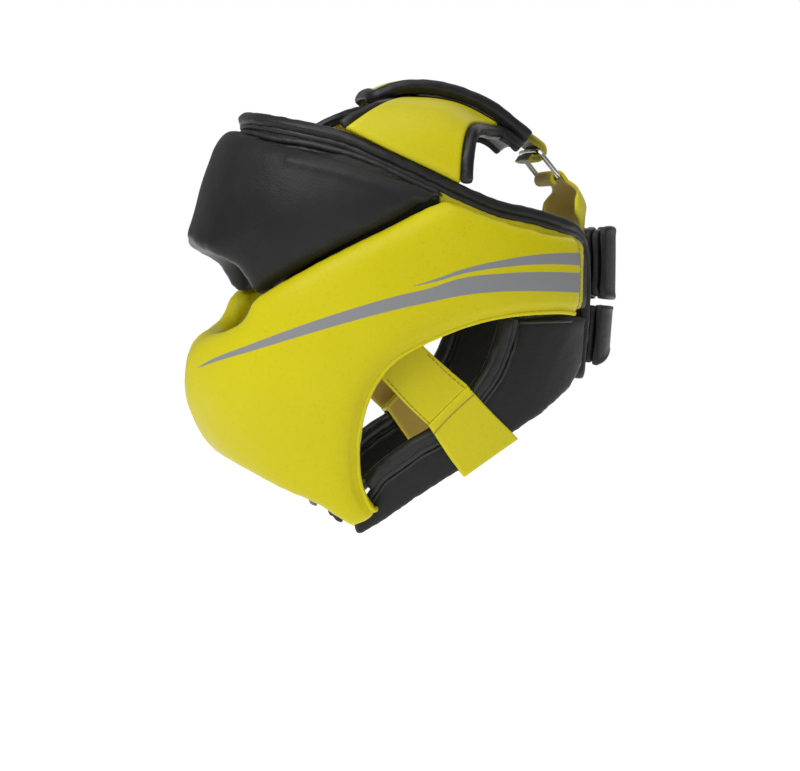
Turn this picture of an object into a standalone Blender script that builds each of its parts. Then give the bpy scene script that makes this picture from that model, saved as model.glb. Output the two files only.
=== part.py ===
# Boxing headgear, built in metres with +Z up.
# The face looks along -Y, the wearer's left is +X, and the middle plane is X = 0.
# The origin is the centre of the head hollow at the level of the head band.
#
# Two ways of placing a point are used:
#   wall_point   wraps round the head: a turn from the front, a height, and a depth outwards
#   crown_point  runs over the top of the head: a distance back, a distance aside, and a depth

import math

import bmesh
import bpy
from mathutils import Vector
from mathutils.geometry import delaunay_2d_cdt

# Driving sizes of the hollow
HEAD_LENGTH = 0.194
HEAD_BREADTH = 0.158
CROWN_RISE = 0.080
JAW_DROP = 0.185

# Walls, straps and edges
BAND_THICK = 0.0092
LAYER_GAP = 0.0012
BINDING_GAP = 0.0004
CROWN_BINDING_GAP = 0.0008
SEAM_GAP = 0.0008
FLAT_EDGE_RADIUS = 0.002
BROW_EDGE_RADIUS = 0.007
CHEEK_EDGE_RADIUS = 0.010
BAND_BINDING_RADIUS = 0.0038
WINDOW_BINDING_RADIUS = 0.0036
FRONT_BINDING_RADIUS = 0.0026
FLAP_BINDING_RADIUS = 0.0040
JAW_ROLL_RADIUS = 0.0045
STRAP_THICK = 0.0020
CROWN_PANEL_THICK = 0.0065
CROWN_STRAP_HALF = 0.024
CROWN_STRAP_THICK = 0.0055
TAPE_THICK = 0.0012
FLAP_HALF = 0.0205
FLAP_THICK = 0.0050
REAR_PANEL_THICK = 0.0026
REAR_PANEL_STRAIGHTEN = 0.012
FLAP_FLATTEN = 0.020
CHIN_STRAP_HALF = 0.0080
CHIN_STRAP_THICK = 0.0045
CHIN_STRAP_LEAN = 0.35
CHIN_STRAP_GAP = 0.0036
CHIN_STRAP_END = 0.30
RING_WIRE_RADIUS = 0.0018
RING_HALF_WIDTH = 0.0275
RING_CORNER = 0.005
BAR_GAP = 0.0006
PANEL_FOOT_GAP = 0.0018
TAPE_GAP = 0.0004
TAPE_MARGIN = 0.003
SLEEVE_GAP = 0.0007

# Mesh fineness
MAP_RADIUS = 0.095
EDGE_STEP = 0.0105
FILL_STEP = 0.0165
SPLINE_STEPS = 8
WIRE_SIDES = 2

# The wall of the hollow at each level. up is a share of CROWN_RISE above the band and of
# JAW_DROP below it. front and back are shares of half HEAD_LENGTH, side of half HEAD_BREADTH.
WALL_ROWS = [
    # up, front, side, back
    (1.10, 1.12, 0.93, 0.86),
    (0.75, 1.10, 0.96, 0.93),
    (0.38, 1.07, 0.99, 0.98),
    (0.00, 1.04, 1.00, 1.00),
    (-0.16, 1.07, 1.00, 1.00),
    (-0.32, 1.18, 0.98, 0.985),
    (-0.49, 1.20, 0.95, 0.95),
    (-0.65, 1.10, 0.90, 0.90),
    (-0.78, 0.99, 0.84, 0.82),
    (-0.90, 0.90, 0.77, 0.71),
    (-1.05, 0.78, 0.68, 0.60),
]
WALL_ROUNDNESS = 2.2

# Edges of the wrapped pieces, as turn in degrees from the front and up as in WALL_ROWS
SEAM = [
    (22, -0.236), (27, -0.195), (33, -0.145), (38, -0.112), (45, -0.069),
    (53, -0.026), (58.4, 0.0), (61, 0.029), (69, 0.109), (80, 0.228),
    (88, 0.262),
]
BROW_TOP = [
    (88, 0.31), (76, 0.39), (62, 0.51), (50, 0.605), (35, 0.67), (26, 0.72),
    (15, 0.8), (0, 0.86),
]
BROW_MIDDLE = [(0, 0.86), (0, -0.05)]
BROW_ARCH = [(0, -0.05), (6, -0.062), (14, -0.092), (19, -0.138), (20.8, -0.19), (22, -0.236)]
BROW_TAIL = [(88, 0.262), (88, 0.31)]

CHEEK_NOTCH = [(0, -0.34), (8.7, -0.333), (15.5, -0.318), (19.5, -0.302), (21.6, -0.275), (22, -0.236)]
CHEEK_TOP = [(88, 0.262), (100, 0.172), (110, 0.115), (117, 0.082), (134, 0.022), (144, 0.0)]
CHEEK_REAR = [(144, 0.0), (144.8, -0.08), (144.7, -0.176), (144.5, -0.28)]
CHEEK_EAR = [
    (144.5, -0.28), (136, -0.27), (128, -0.265), (113.7, -0.267), (99.8, -0.282), (83.8, -0.324),
    (68.2, -0.393), (59.7, -0.482), (55.1, -0.586), (53.1, -0.68), (52.8, -0.774), (55, -0.842),
    (59.3, -0.883),
]
CHEEK_TIP = [(59.3, -0.883), (52, -0.91), (45.5, -0.935)]
CHEEK_UNDER = [
    (45.5, -0.935), (37, -0.865), (33, -0.838), (25, -0.803), (17, -0.757), (8, -0.715),
    (0, -0.7),
]
CHEEK_MIDDLE = [(0, -0.70), (0, -0.34)]

BAND_TOP = [
    (0, 0.845), (15, 0.82), (30, 0.76), (42.7, 0.695), (50.5, 0.64), (59, 0.56),
    (69, 0.475), (81.3, 0.375), (92, 0.285), (98.4, 0.235), (111, 0.15), (124, 0.105),
    (137, 0.045), (147, 0.005), (153, -0.03), (156, -0.07), (156.5, -0.12),
]
BAND_BINDING_END = -0.47
BAND_REAR = [(156.5, -0.12), (156.5, -0.25)]
BAND_LOW = [(156.5, -0.25), (125, -0.245), (95, -0.25), (60, -0.25), (36, -0.22), (26, -0.19)]
BAND_FACE = [(26, -0.19), (20, -0.13), (15, -0.075), (8, -0.035), (0, -0.025)]
BAND_MIDDLE = [(0, -0.025), (0, 0.845)]

JAW_TOP = [(156.5, -0.258), (138, -0.256), (119.5, -0.258)]
JAW_EAR = [
    (112.0, -0.264), (110.9, -0.32), (107.2, -0.408), (102.6, -0.465), (94, -0.545), (85, -0.607),
    (74.6, -0.647), (65.5, -0.692), (56.5, -0.738), (51, -0.786), (44, -0.855),
]
JAW_FRONT = [(44, -0.855), (43, -0.984)]
JAW_UNDER = [
    (43, -0.984), (58.4, -0.925), (66.2, -0.888), (82, -0.82), (99.6, -0.748), (112, -0.69),
    (124.8, -0.622), (131.7, -0.596), (140, -0.549), (150, -0.495), (154, -0.455), (156.5, -0.42),
]
JAW_REAR = [(156.5, -0.43), (156.5, -0.258)]

# Depth of the pads, in metres, along the turn: at their top and at their bottom edge
BROW_DEPTH = [
    # turn, top, middle, low
    (0, 0.009, 0.028, 0.042),
    (12, 0.009, 0.028, 0.039),
    (17, 0.010, 0.027, 0.031),
    (22, 0.010, 0.026, 0.020),
    (30, 0.011, 0.024, 0.018),
    (45, 0.012, 0.020, 0.018),
    (65, 0.011, 0.015, 0.015),
    (88, 0.008, 0.009, 0.009),
]
CHEEK_DEPTH = [
    # turn, top, middle, low
    (0, 0.016, 0.025, 0.017),
    (30, 0.021, 0.022, 0.018),
    (60, 0.021, 0.019, 0.014),
    (90, 0.019, 0.017, 0.016),
    (115, 0.015, 0.014, 0.014),
    (146, 0.0085, 0.0085, 0.0085),
]
CHEEK_DEPTH_LEVELS = (-0.30, -0.50, -0.72)

# The midline of the crown's outer face. In this table and in those after it back is a share of
# half HEAD_LENGTH behind the origin, and up a share of CROWN_RISE above it.
CROWN_LINE = [
    # back, up
    (-0.309, 1.085),
    (-0.206, 1.088),
    (0.000, 1.085),
    (0.186, 1.045),
    (0.330, 0.965),
    (0.454, 0.875),
    (0.557, 0.775),
    (0.639, 0.680),
]
CROWN_EDGE_DROP = 0.0025
CROWN_JOIN = (-0.206, 0.433)
STRAP_SPAN = (-0.206, 0.588)
PANEL_TURNS = (48.0, 94.0)
PANEL_SHAPE = [
    # share of the way back, rise at the foot and how far back, reach at the head and how far forward
    (0.0, 0.24, 0.60, 0.30, 0.03),
    (0.5, 0.43, 0.25, 0.36, 0.30),
    (1.0, 0.58, 0.02, 0.42, 0.72),
]

# The middle layer of the flap, from its free end over the crown
FLAP_LINE = [
    # back, up
    (-0.335, 1.105),
    (-0.258, 1.145),
    (-0.149, 1.172),
    (0.021, 1.165),
    (0.206, 1.110),
    (0.371, 1.020),
    (0.505, 0.905),
    (0.619, 0.790),
]

# The ring's two bars, seen from the side. The bends are the angles in degrees between which the
# flap and the rear panel go round them.
RING_BARS = [(0.6856, 0.655), (0.8247, 0.445)]
FLAP_BEND = (55, -135)
PANEL_BEND = (15, 265)

# The rear panel's midline, from the hidden lower end up to the ring's lower bar
REAR_LINE = [
    # back, up (below the band a share of JAW_DROP), half width in metres
    (1.009, -0.165, 0.0265),
    (1.014, -0.060, 0.0270),
    (1.018, 0.080, 0.0285),
    (1.026, 0.160, 0.0430),
    (1.036, 0.220, 0.0450),
    (1.010, 0.300, 0.0410),
    (0.954, 0.370, 0.0310),
    (0.892, 0.415, 0.0235),
]

# The rear straps: up at the top and bottom edge by turn, and how far they stand off the wall
REAR_UPPER = [
    # turn, top, low, inner depth, thickness
    (161.9, 0.040, -0.205, 0.0034, 0.0100),
    (168, 0.070, -0.214, 0.0042, 0.0155),
    (175, 0.060, -0.217, 0.0052, 0.0190),
    (180, 0.040, -0.217, 0.0054, 0.0200),
]
REAR_LOWER = [
    # turn, top, low, inner depth, thickness
    (161.3, -0.222, -0.440, 0.0014, 0.0100),
    (168, -0.231, -0.420, 0.0050, 0.0140),
    (175, -0.232, -0.388, 0.0070, 0.0160),
    (180, -0.232, -0.375, 0.0075, 0.0165),
]

# The yellow hanger and its sleeve round the jaw strap: both edges, from the pad down
HANGER = [
    # front turn, front up, rear turn, rear up, inner depth
    (52.5, -0.385, 71.0, -0.285, 0.0066),
    (60.0, -0.446, 77.8, -0.350, 0.0066),
    (70.6, -0.537, 88.6, -0.424, 0.0080),
    (79.8, -0.602, 97.4, -0.478, 0.0097),
]
SLEEVE = [
    # front turn, front up, rear turn, rear up
    (81.0, -0.614, 98.5, -0.490),
    (89.0, -0.696, 109.2, -0.571),
    (97.0, -0.765, 120.6, -0.646),
]

# The chin strap from the jaw strap's end to the middle: aside, back, up
CHIN_ROUTE = [
    # aside in half HEAD_BREADTH, back in half HEAD_LENGTH, up in JAW_DROP
    (0.418, -0.670, -0.846),
    (0.215, -0.737, -0.815),
    (0.000, -0.758, -0.810),
]

YELLOW = (0.62, 0.55, 0.02)
BLACK = (0.012, 0.012, 0.013)
GREY_TAPE = (0.50, 0.50, 0.48)
STEEL = (0.62, 0.62, 0.60)


def behind(share):
    """A distance behind the origin from its share."""
    return share * HEAD_LENGTH / 2


def level(share):
    """A height above or below the head band from its share."""
    return share * (CROWN_RISE if share > 0 else JAW_DROP)


def steps_between(low, high, count):
    """Evenly spaced values from low to high."""
    return [low + (high - low) * k / count for k in range(count + 1)]


def spline(rows, steps=SPLINE_STEPS):
    """Points of a smooth curve through rows of numbers."""
    points = []
    last = len(rows) - 1
    for i in range(last):
        a, b, c, d = rows[max(i - 1, 0)], rows[i], rows[i + 1], rows[min(i + 2, last)]
        for k in range(steps):
            t = k / steps
            points.append(tuple(
                q + 0.5 * t * (r - p + t * (2 * p - 5 * q + 4 * r - s + t * (3 * q - p - 3 * r + s)))
                for p, q, r, s in zip(a, b, c, d)
            ))
    points.append(tuple(rows[last]))
    return points


def look_up(rows, key):
    """The other columns of a table at a value of its first column."""
    ordered = spline(sorted(rows), 4)
    if key <= ordered[0][0]:
        return ordered[0][1:]
    for low, high in zip(ordered, ordered[1:]):
        if key <= high[0]:
            t = (key - low[0]) / (high[0] - low[0])
            return tuple(p + (q - p) * t for p, q in zip(low[1:], high[1:]))
    return ordered[-1][1:]


def wall_table():
    """WALL_ROWS in metres, from the lowest level up."""
    long, wide = HEAD_LENGTH / 2, HEAD_BREADTH / 2
    rows = [(level(up), front * long, side * wide, back * long) for up, front, side, back in WALL_ROWS]
    return spline(sorted(rows), 6)


WALL_TABLE = wall_table()


def wall_surface(turn, height):
    """A point of the hollow's wall: turn in degrees from the front, height in metres."""
    rows = WALL_TABLE
    index = 0
    while index < len(rows) - 2 and rows[index + 1][0] < height:
        index += 1
    low, high = rows[index], rows[index + 1]
    t = (height - low[0]) / (high[0] - low[0])
    front, side, back = (p + (q - p) * t for p, q in zip(low[1:], high[1:]))
    sine, cosine = math.sin(math.radians(turn)), math.cos(math.radians(turn))
    along = front if cosine > 0 else back
    power = WALL_ROUNDNESS
    reach = ((abs(sine) / side) ** power + (abs(cosine) / along) ** power) ** (-1 / power)
    return Vector((reach * sine, -reach * cosine, height))


def wall_point(turn, height, depth):
    """A point at a depth outside the hollow's wall."""
    span = 1.5
    rise = 0.004
    across = wall_surface(turn + span, height) - wall_surface(turn - span, height)
    upwards = wall_surface(turn, height + rise) - wall_surface(turn, height - rise)
    return wall_surface(turn, height) + across.cross(upwards).normalized() * depth


def to_map(turn, up):
    """Flat coordinates in which the wrapped pieces are cut out."""
    return Vector((math.radians(turn) * MAP_RADIUS, level(up)))


def from_map(point, depth):
    """The point in space of a map point at a depth outside the wall."""
    return wall_point(math.degrees(point.x / MAP_RADIUS), point.y, depth)


def resample(points, step):
    """The same polyline with evenly spaced points about a step apart."""
    lengths = [0.0]
    for a, b in zip(points, points[1:]):
        lengths.append(lengths[-1] + (b - a).length)
    count = max(1, round(lengths[-1] / step))
    found, index = [], 0
    for k in range(count + 1):
        target = lengths[-1] * k / count
        while index < len(points) - 2 and lengths[index + 1] < target:
            index += 1
        gap = lengths[index + 1] - lengths[index]
        found.append(points[index].lerp(points[index + 1], (target - lengths[index]) / gap if gap else 0))
    return found


def cut_outline(edges, step=EDGE_STEP):
    """A closed outline in the map from edges of (turn, up) rows, each smooth, with corners between."""
    outline = []
    for rows in edges:
        outline += resample([to_map(*row) for row in spline(rows)], step)[:-1]
    return outline


def on_middle(a, b):
    """Whether two map points both lie on the middle plane."""
    return max(a.x, b.x) < 1e-6


def inset(outline, distance):
    """The outline's points moved inwards. A point on the middle plane slides along it."""
    area = sum(a.x * b.y - b.x * a.y for a, b in zip(outline, outline[1:] + outline[:1]))
    turn = 1 if area > 0 else -1
    moved = []
    for i, point in enumerate(outline):
        before, after = outline[i - 1], outline[(i + 1) % len(outline)]
        normals = []
        for a, b in ((before, point), (point, after)):
            side = (b - a).normalized() * turn
            normals.append(Vector((0, 0)) if on_middle(a, b) else Vector((-side.y, side.x)))
        stretch = 1 / max(1 + normals[0].dot(normals[1]), 0.35)
        shift = (normals[0] + normals[1]) * distance * stretch
        if on_middle(point, point):
            shift.x = 0
        moved.append(point + shift)
    return moved


def edge_distance(point, outline):
    """How far a map point is from the outline, leaving out the middle plane."""
    nearest = 1.0
    for a, b in zip(outline, outline[1:] + outline[:1]):
        if on_middle(a, b):
            continue
        along = b - a
        t = max(0.0, min(1.0, (point - a).dot(along) / along.length_squared))
        nearest = min(nearest, (point - a - along * t).length)
    return nearest


def inside(point, outline):
    """Whether a map point is within the outline."""
    found = False
    for a, b in zip(outline, outline[1:] + outline[:1]):
        if (a.y > point.y) != (b.y > point.y):
            if point.x < a.x + (b.x - a.x) * (point.y - a.y) / (b.y - a.y):
                found = not found
    return found


def fill_points(outline, step, margin):
    """Evenly spaced points inside the outline, a margin away from its edges."""
    low_x, high_x = min(p.x for p in outline), max(p.x for p in outline)
    low_y, high_y = min(p.y for p in outline), max(p.y for p in outline)
    found = []
    row = 0
    y = low_y + step / 2
    while y < high_y:
        x = low_x + step * (0.5 if row % 2 else 1.0)
        while x < high_x:
            point = Vector((x, y))
            if inside(point, outline) and edge_distance(point, outline) > margin:
                found.append(point)
            x += step
        y += step * 0.87
        row += 1
    return found


def triangulate(outline, extra):
    """Triangles over the outline and the extra points, all turned the same way."""
    count = len(outline)
    points, _, faces, origins, _, _ = delaunay_2d_cdt(outline + extra, [], [list(range(count))], 1, 1e-7)
    place = {}
    for new, old in enumerate(origins):
        for index in old:
            place[index] = new
    turned = []
    for a, b, c in faces:
        area = (points[b] - points[a]).cross(points[c] - points[a])
        turned.append((a, b, c) if area > 0 else (a, c, b))
    return points, turned, [place[i] for i in range(count)]


def make_object(name, bm, colour):
    """An object from a finished mesh."""
    mesh = bpy.data.meshes.new(name)
    bm.to_mesh(mesh)
    bm.free()
    mesh.shade_smooth()
    return finish_object(bpy.data.objects.new(name, mesh), colour)


def finish_object(obj, colour, roughness=0.5, metallic=0.0):
    """Gives an object its own material and puts it in the headgear's collection."""
    material = bpy.data.materials.new(obj.name)
    material.use_nodes = True
    shader = material.node_tree.nodes["Principled BSDF"]
    shader.inputs["Base Color"].default_value = (*colour, 1.0)
    shader.inputs["Roughness"].default_value = roughness
    shader.inputs["Metallic"].default_value = metallic
    obj.data.materials.append(material)
    HEADGEAR.objects.link(obj)
    return obj


def cut_panel(name, edges, seat, thickness, radius, colour, sides=(1,), mirrored=False):
    """A padded piece cut to an outline: a flat back at the seat depth, a face with rounded edges."""
    outline = inset(cut_outline(edges), SEAM_GAP / 2)
    rings = []
    for offset in (radius * 0.3, radius):
        for p in inset(outline, offset):
            if p.x > 1e-6 and inside(p, outline) and edge_distance(p, outline) > offset * 0.85:
                rings.append(p)
    inner = fill_points(outline, FILL_STEP, radius + FILL_STEP * 0.45)
    face_points, face_triangles, face_rim = triangulate(outline, rings + inner)
    back_fill = fill_points(outline, FILL_STEP, FILL_STEP * 0.5)
    back_points, back_triangles, back_rim = triangulate(outline, back_fill)

    def face_depth(point):
        full = thickness(point)
        reach = min(radius, full * 0.8)
        near = min(edge_distance(point, outline), reach)
        return seat + full - reach + math.sqrt(max(reach ** 2 - (reach - near) ** 2, 0))

    for side in sides:
        bm = bmesh.new()
        face = [bm.verts.new(from_map(p, face_depth(p))) for p in face_points]
        back = [bm.verts.new(from_map(p, seat)) for p in back_points]
        for a, b, c in face_triangles:
            bm.faces.new((face[a], face[b], face[c]))
        for a, b, c in back_triangles:
            bm.faces.new((back[c], back[b], back[a]))
        count = len(outline)
        for i in range(count):
            j = (i + 1) % count
            if mirrored and on_middle(outline[i], outline[j]):
                continue
            face_edge = (face[face_rim[j]], face[face_rim[i]])
            bm.faces.new((*face_edge, back[back_rim[i]], back[back_rim[j]]))
        if side < 0:
            bmesh.ops.scale(bm, vec=(-1, 1, 1), verts=bm.verts)
        bmesh.ops.recalc_face_normals(bm, faces=bm.faces)
        if mirrored:
            settle_normals(bm)
        label = name if len(sides) == 1 else name + ("_left" if side > 0 else "_right")
        obj = make_object(label, bm, colour)
        if mirrored:
            add_mirror(obj)


def settle_normals(bm):
    """Turns an open half so that its faces point away from the head's middle on its outer side."""
    outer = max(bm.faces, key=lambda f: f.calc_center_median().length)
    if outer.normal.dot(outer.calc_center_median()) < 0:
        bmesh.ops.reverse_faces(bm, faces=bm.faces)


def add_mirror(obj):
    """Gives a half piece its other half across the middle plane."""
    mirror = obj.modifiers.new("Mirror", "MIRROR")
    mirror.use_axis = (True, False, False)
    mirror.use_clip = True
    mirror.merge_threshold = 0.0001


def add_tube(name, points, radius, colour, closed=False, roughness=0.45, metallic=0.0, sides=1):
    """A round cord or wire along points."""
    curve = bpy.data.curves.new(name, "CURVE")
    curve.dimensions = "3D"
    curve.bevel_depth = radius
    curve.bevel_resolution = sides
    curve.use_fill_caps = not closed
    line = curve.splines.new("POLY")
    line.points.add(len(points) - 1)
    for place, point in zip(line.points, points):
        place.co = (*point, 1)
    line.use_cyclic_u = closed
    return finish_object(bpy.data.objects.new(name, curve), colour, roughness, metallic)


def add_ribbon(name, sections, colour):
    """A strap lofted through sections, each a closed ring of points, with flat ends."""
    bm = bmesh.new()
    rings = [[bm.verts.new(p) for p in ring] for ring in sections]
    count = len(rings[0])
    for low, high in zip(rings, rings[1:]):
        for i in range(count):
            j = (i + 1) % count
            bm.faces.new((low[i], low[j], high[j], high[i]))
    half = count // 2
    for ring in (rings[0], rings[-1]):
        for i in range(half - 1):
            bm.faces.new((ring[i], ring[i + 1], ring[count - 2 - i], ring[count - 1 - i]))
    bmesh.ops.recalc_face_normals(bm, faces=bm.faces)
    return make_object(name, bm, colour)


def both_sides(points):
    """A path from the far side over the middle plane to the near side, from its near half."""
    return [Vector((-p.x, p.y, p.z)) for p in reversed(points[1:])] + points


def beside(rows, distance):
    """The (turn, up) rows of a line moved to its right by a distance."""
    line = [to_map(*row) for row in rows]
    moved = []
    for i, point in enumerate(line):
        along = (line[min(i + 1, len(line) - 1)] - line[max(i - 1, 0)]).normalized()
        place = point - Vector((-along.y, along.x)) * distance
        moved.append((math.degrees(place.x / MAP_RADIUS), place.y / JAW_DROP))
    return moved


def wrapped_path(rows, depth, step, away=0.0):
    """A path in the wall along (turn, up) rows, moved off the line by a distance to its left."""
    line = resample([to_map(*row) for row in spline(rows)], step)
    path = []
    for i, point in enumerate(line):
        side = (line[min(i + 1, len(line) - 1)] - line[max(i - 1, 0)]).normalized()
        path.append(from_map(point + Vector((-side.y, side.x)) * away, depth))
    return path


def brow_depth(point):
    """The brow pad's thickness at a map point."""
    turn = math.degrees(point.x / MAP_RADIUS)
    top, middle, low = look_up(BROW_DEPTH, turn)
    high_edge = look_up([(row[0], level(row[1])) for row in BROW_TOP], turn)[0]
    low_edge = look_up([(row[0], level(row[1])) for row in BROW_ARCH + SEAM[1:]], turn)[0]
    half_way = (low_edge + high_edge) / 2
    return look_up([(low_edge, low), (half_way, middle), (high_edge + 0.001, top)], point.y)[0]


def cheek_depth(point):
    """The cheek guard's thickness at a map point."""
    depths = look_up(CHEEK_DEPTH, math.degrees(point.x / MAP_RADIUS))
    return look_up([(level(up), depth) for up, depth in zip(CHEEK_DEPTH_LEVELS, depths)], point.y)[0]


def crown_point(back, aside, depth):
    """A point over the crown: metres back, metres aside, and a depth above the strap's outer face."""
    line = [(behind(row[0]), row[1] * CROWN_RISE) for row in spline(CROWN_LINE, 6)]
    index = 0
    while index < len(line) - 2 and line[index + 1][0] < back:
        index += 1
    low, high = line[index], line[index + 1]
    along = Vector((high[0] - low[0], high[1] - low[1])).normalized()
    t = (back - low[0]) / (high[0] - low[0])
    height = low[1] + (high[1] - low[1]) * t
    height -= CROWN_EDGE_DROP * (aside / CROWN_STRAP_HALF) ** 2
    return Vector((aside, back - along.y * depth, height + along.x * depth))


def crown_patch(along, across, depth):
    """A crown panel between the head band (across 0) and the crown strap (across 1)."""
    def surface(u, v):
        turn = PANEL_TURNS[0] + (PANEL_TURNS[1] - PANEL_TURNS[0]) * u
        edge = look_up([(row[0], level(row[1])) for row in spline(BAND_TOP)], turn)[0]
        clear = edge + 2 * BAND_BINDING_RADIUS + PANEL_FOOT_GAP
        foot = wall_point(turn, clear, BAND_THICK - CROWN_PANEL_THICK)
        back = behind(CROWN_JOIN[0] + (CROWN_JOIN[1] - CROWN_JOIN[0]) * u)
        head = crown_point(back, CROWN_STRAP_HALF + LAYER_GAP, -CROWN_PANEL_THICK)
        span = (head - foot).length
        rise, back_share, reach, forward_share = look_up(PANEL_SHAPE, u)
        run = head.y - foot.y
        lift = foot + Vector((0, run * back_share, span * rise))
        swing = head + Vector((span * reach, -run * forward_share, -span * 0.02))
        w = 1 - v
        return foot * w ** 3 + lift * (3 * w * w * v) + swing * (3 * w * v * v) + head * v ** 3

    step = 0.02
    low_v, high_v = max(across - step, 0), min(across + step, 1)
    low_u, high_u = max(along - step, 0), min(along + step, 1)
    backwards = surface(high_u, across) - surface(low_u, across)
    upwards = surface(along, high_v) - surface(along, low_v)
    return surface(along, across) + backwards.cross(upwards).normalized() * depth


def crown_panels():
    """The two panels, each a grid of faces inside and outside, joined at the rim."""
    rows = 8
    edge = 0.025
    steps = [0] + steps_between(edge, 1 - edge, 6) + [1]
    for side in (1, -1):
        bm = bmesh.new()
        grids = []
        for outer in (False, True):
            grid = []
            for j in range(rows + 1):
                line = []
                for i, u in enumerate(steps):
                    soft = CROWN_PANEL_THICK * (0.7 if i in (0, len(steps) - 1) else 1.0)
                    line.append(bm.verts.new(crown_patch(u, j / rows, soft if outer else 0.0)))
                grid.append(line)
            grids.append(grid)
        inner, face = grids
        last = len(steps) - 1
        for j in range(rows):
            for i in range(last):
                bm.faces.new((face[j][i], face[j][i + 1], face[j + 1][i + 1], face[j + 1][i]))
                bm.faces.new((inner[j][i], inner[j + 1][i], inner[j + 1][i + 1], inner[j][i + 1]))
            bm.faces.new((inner[j][0], face[j][0], face[j + 1][0], inner[j + 1][0]))
            bm.faces.new((inner[j][last], inner[j + 1][last], face[j + 1][last], face[j][last]))
        for i in range(last):
            bm.faces.new((inner[0][i], inner[0][i + 1], face[0][i + 1], face[0][i]))
            bm.faces.new((inner[rows][i], face[rows][i], face[rows][i + 1], inner[rows][i + 1]))
        bmesh.ops.scale(bm, vec=(side, 1, 1), verts=bm.verts)
        bmesh.ops.recalc_face_normals(bm, faces=bm.faces)
        make_object("crown_panel" + ("_left" if side > 0 else "_right"), bm, YELLOW)


def strip_section(back, half, low, high, count=4):
    """A ring across the crown: the lower face from left to right, then the upper face back."""
    sides = steps_between(-half, half, count)
    lower = [crown_point(back, s, low) for s in sides]
    return lower + [crown_point(back, s, high) for s in reversed(sides)]


def crown_straps():
    """The strap along the crown and the tape on it."""
    start, end = (behind(share) for share in STRAP_SPAN)
    backs = steps_between(start, end, 11)
    strap = [strip_section(b, CROWN_STRAP_HALF, -CROWN_STRAP_THICK, 0) for b in backs]
    add_ribbon("crown_strap", strap, BLACK)
    half = CROWN_STRAP_HALF - TAPE_MARGIN
    backs = steps_between(start + 4 * TAPE_MARGIN, end - TAPE_MARGIN, 10)
    tape = [strip_section(b, half, TAPE_GAP, TAPE_GAP + TAPE_THICK) for b in backs]
    add_ribbon("crown_tape", tape, GREY_TAPE)


def outwards_of(line, index):
    """The direction outwards from a side-view line at one of its points."""
    before, after = line[max(index - 1, 0)], line[min(index + 1, len(line) - 1)]
    along = (after - before).normalized()
    return Vector((-along.y, along.x))


def round_bar(bar, radius, start, end, count):
    """Points of an arc round a bar seen from the side, between two angles in degrees."""
    angles = steps_between(math.radians(start), math.radians(end), count)
    return [bar + Vector((math.cos(a), math.sin(a))) * radius for a in angles]


def bar_place(index):
    """The middle of one of the ring's bars, seen from the side."""
    back, up = RING_BARS[index]
    return Vector((behind(back), up * CROWN_RISE))


def flap_route():
    """The flap's middle layer from its free end, over the crown and round the ring's upper bar."""
    line = [Vector((behind(row[0]), row[1] * CROWN_RISE)) for row in spline(FLAP_LINE, 3)]
    reach = RING_WIRE_RADIUS + BAR_GAP + FLAP_THICK / 2
    return line + round_bar(bar_place(0), reach, *FLAP_BEND, 9)


def flap_section(line, index, half, thick):
    """A ring across the flap, which flattens as it nears the bar."""
    outwards = outwards_of(line, index)
    place = line[index]
    fade = max(0.0, min(1.0, (bar_place(0).x - place.x) / FLAP_FLATTEN))
    section = []
    sides = steps_between(-half, half, 4)
    for offset, run in ((-thick / 2, sides), (thick / 2, list(reversed(sides)))):
        point = place + outwards * offset
        for s in run:
            drop = CROWN_EDGE_DROP * fade * (s / CROWN_STRAP_HALF) ** 2
            section.append(Vector((s, point.x, point.y - drop)))
    return section


def flap():
    """The folded strap and its edging, which goes along both sides and round the free end."""
    line = flap_route()
    sections = [flap_section(line, i, FLAP_HALF, FLAP_THICK) for i in range(len(line))]
    add_ribbon("crown_flap", sections, YELLOW)
    away = FLAP_BINDING_RADIUS + BINDING_GAP
    edge = FLAP_HALF + away
    drop = CROWN_EDGE_DROP * (edge / CROWN_STRAP_HALF) ** 2
    bar = bar_place(0)
    over = [p for p in line if p.x < bar.x - 0.001 and p.y > bar.y]
    along = (over[1] - over[0]).normalized()
    nose = over[0] - along * away
    half = [Vector((edge * s, nose.x, nose.y - drop * s * s)) for s in (0, 0.3, 0.6, 0.86)]
    near_corner = nose + along * FLAP_BINDING_RADIUS * 0.75
    half.append(Vector((edge * 0.97, near_corner.x, near_corner.y - drop)))
    half += [Vector((edge, p.x, p.y - drop)) for p in over]
    add_tube("flap_binding", both_sides(half), FLAP_BINDING_RADIUS, BLACK)


def ring():
    """The ring: a wire with round corners, in the plane of its two bars."""
    upper, lower = (Vector((0, *bar_place(index))) for index in (0, 1))
    down = (lower - upper).normalized()
    length = (lower - upper).length
    path = []
    for centre_side, centre_along, start in ((1, 0, -90), (1, 1, 0), (-1, 1, 90), (-1, 0, 180)):
        for a in steps_between(start, start + 90, 3):
            corner = Vector((math.cos(math.radians(a)), math.sin(math.radians(a)))) * RING_CORNER
            aside = centre_side * (RING_HALF_WIDTH - RING_CORNER) + corner.x
            near = RING_CORNER if centre_along == 0 else length - RING_CORNER
            path.append(upper + Vector((aside, 0, 0)) + down * (near + corner.y))
    add_tube("strap_ring", path, RING_WIRE_RADIUS, STEEL, True, 0.25, 1.0, WIRE_SIDES)


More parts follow.
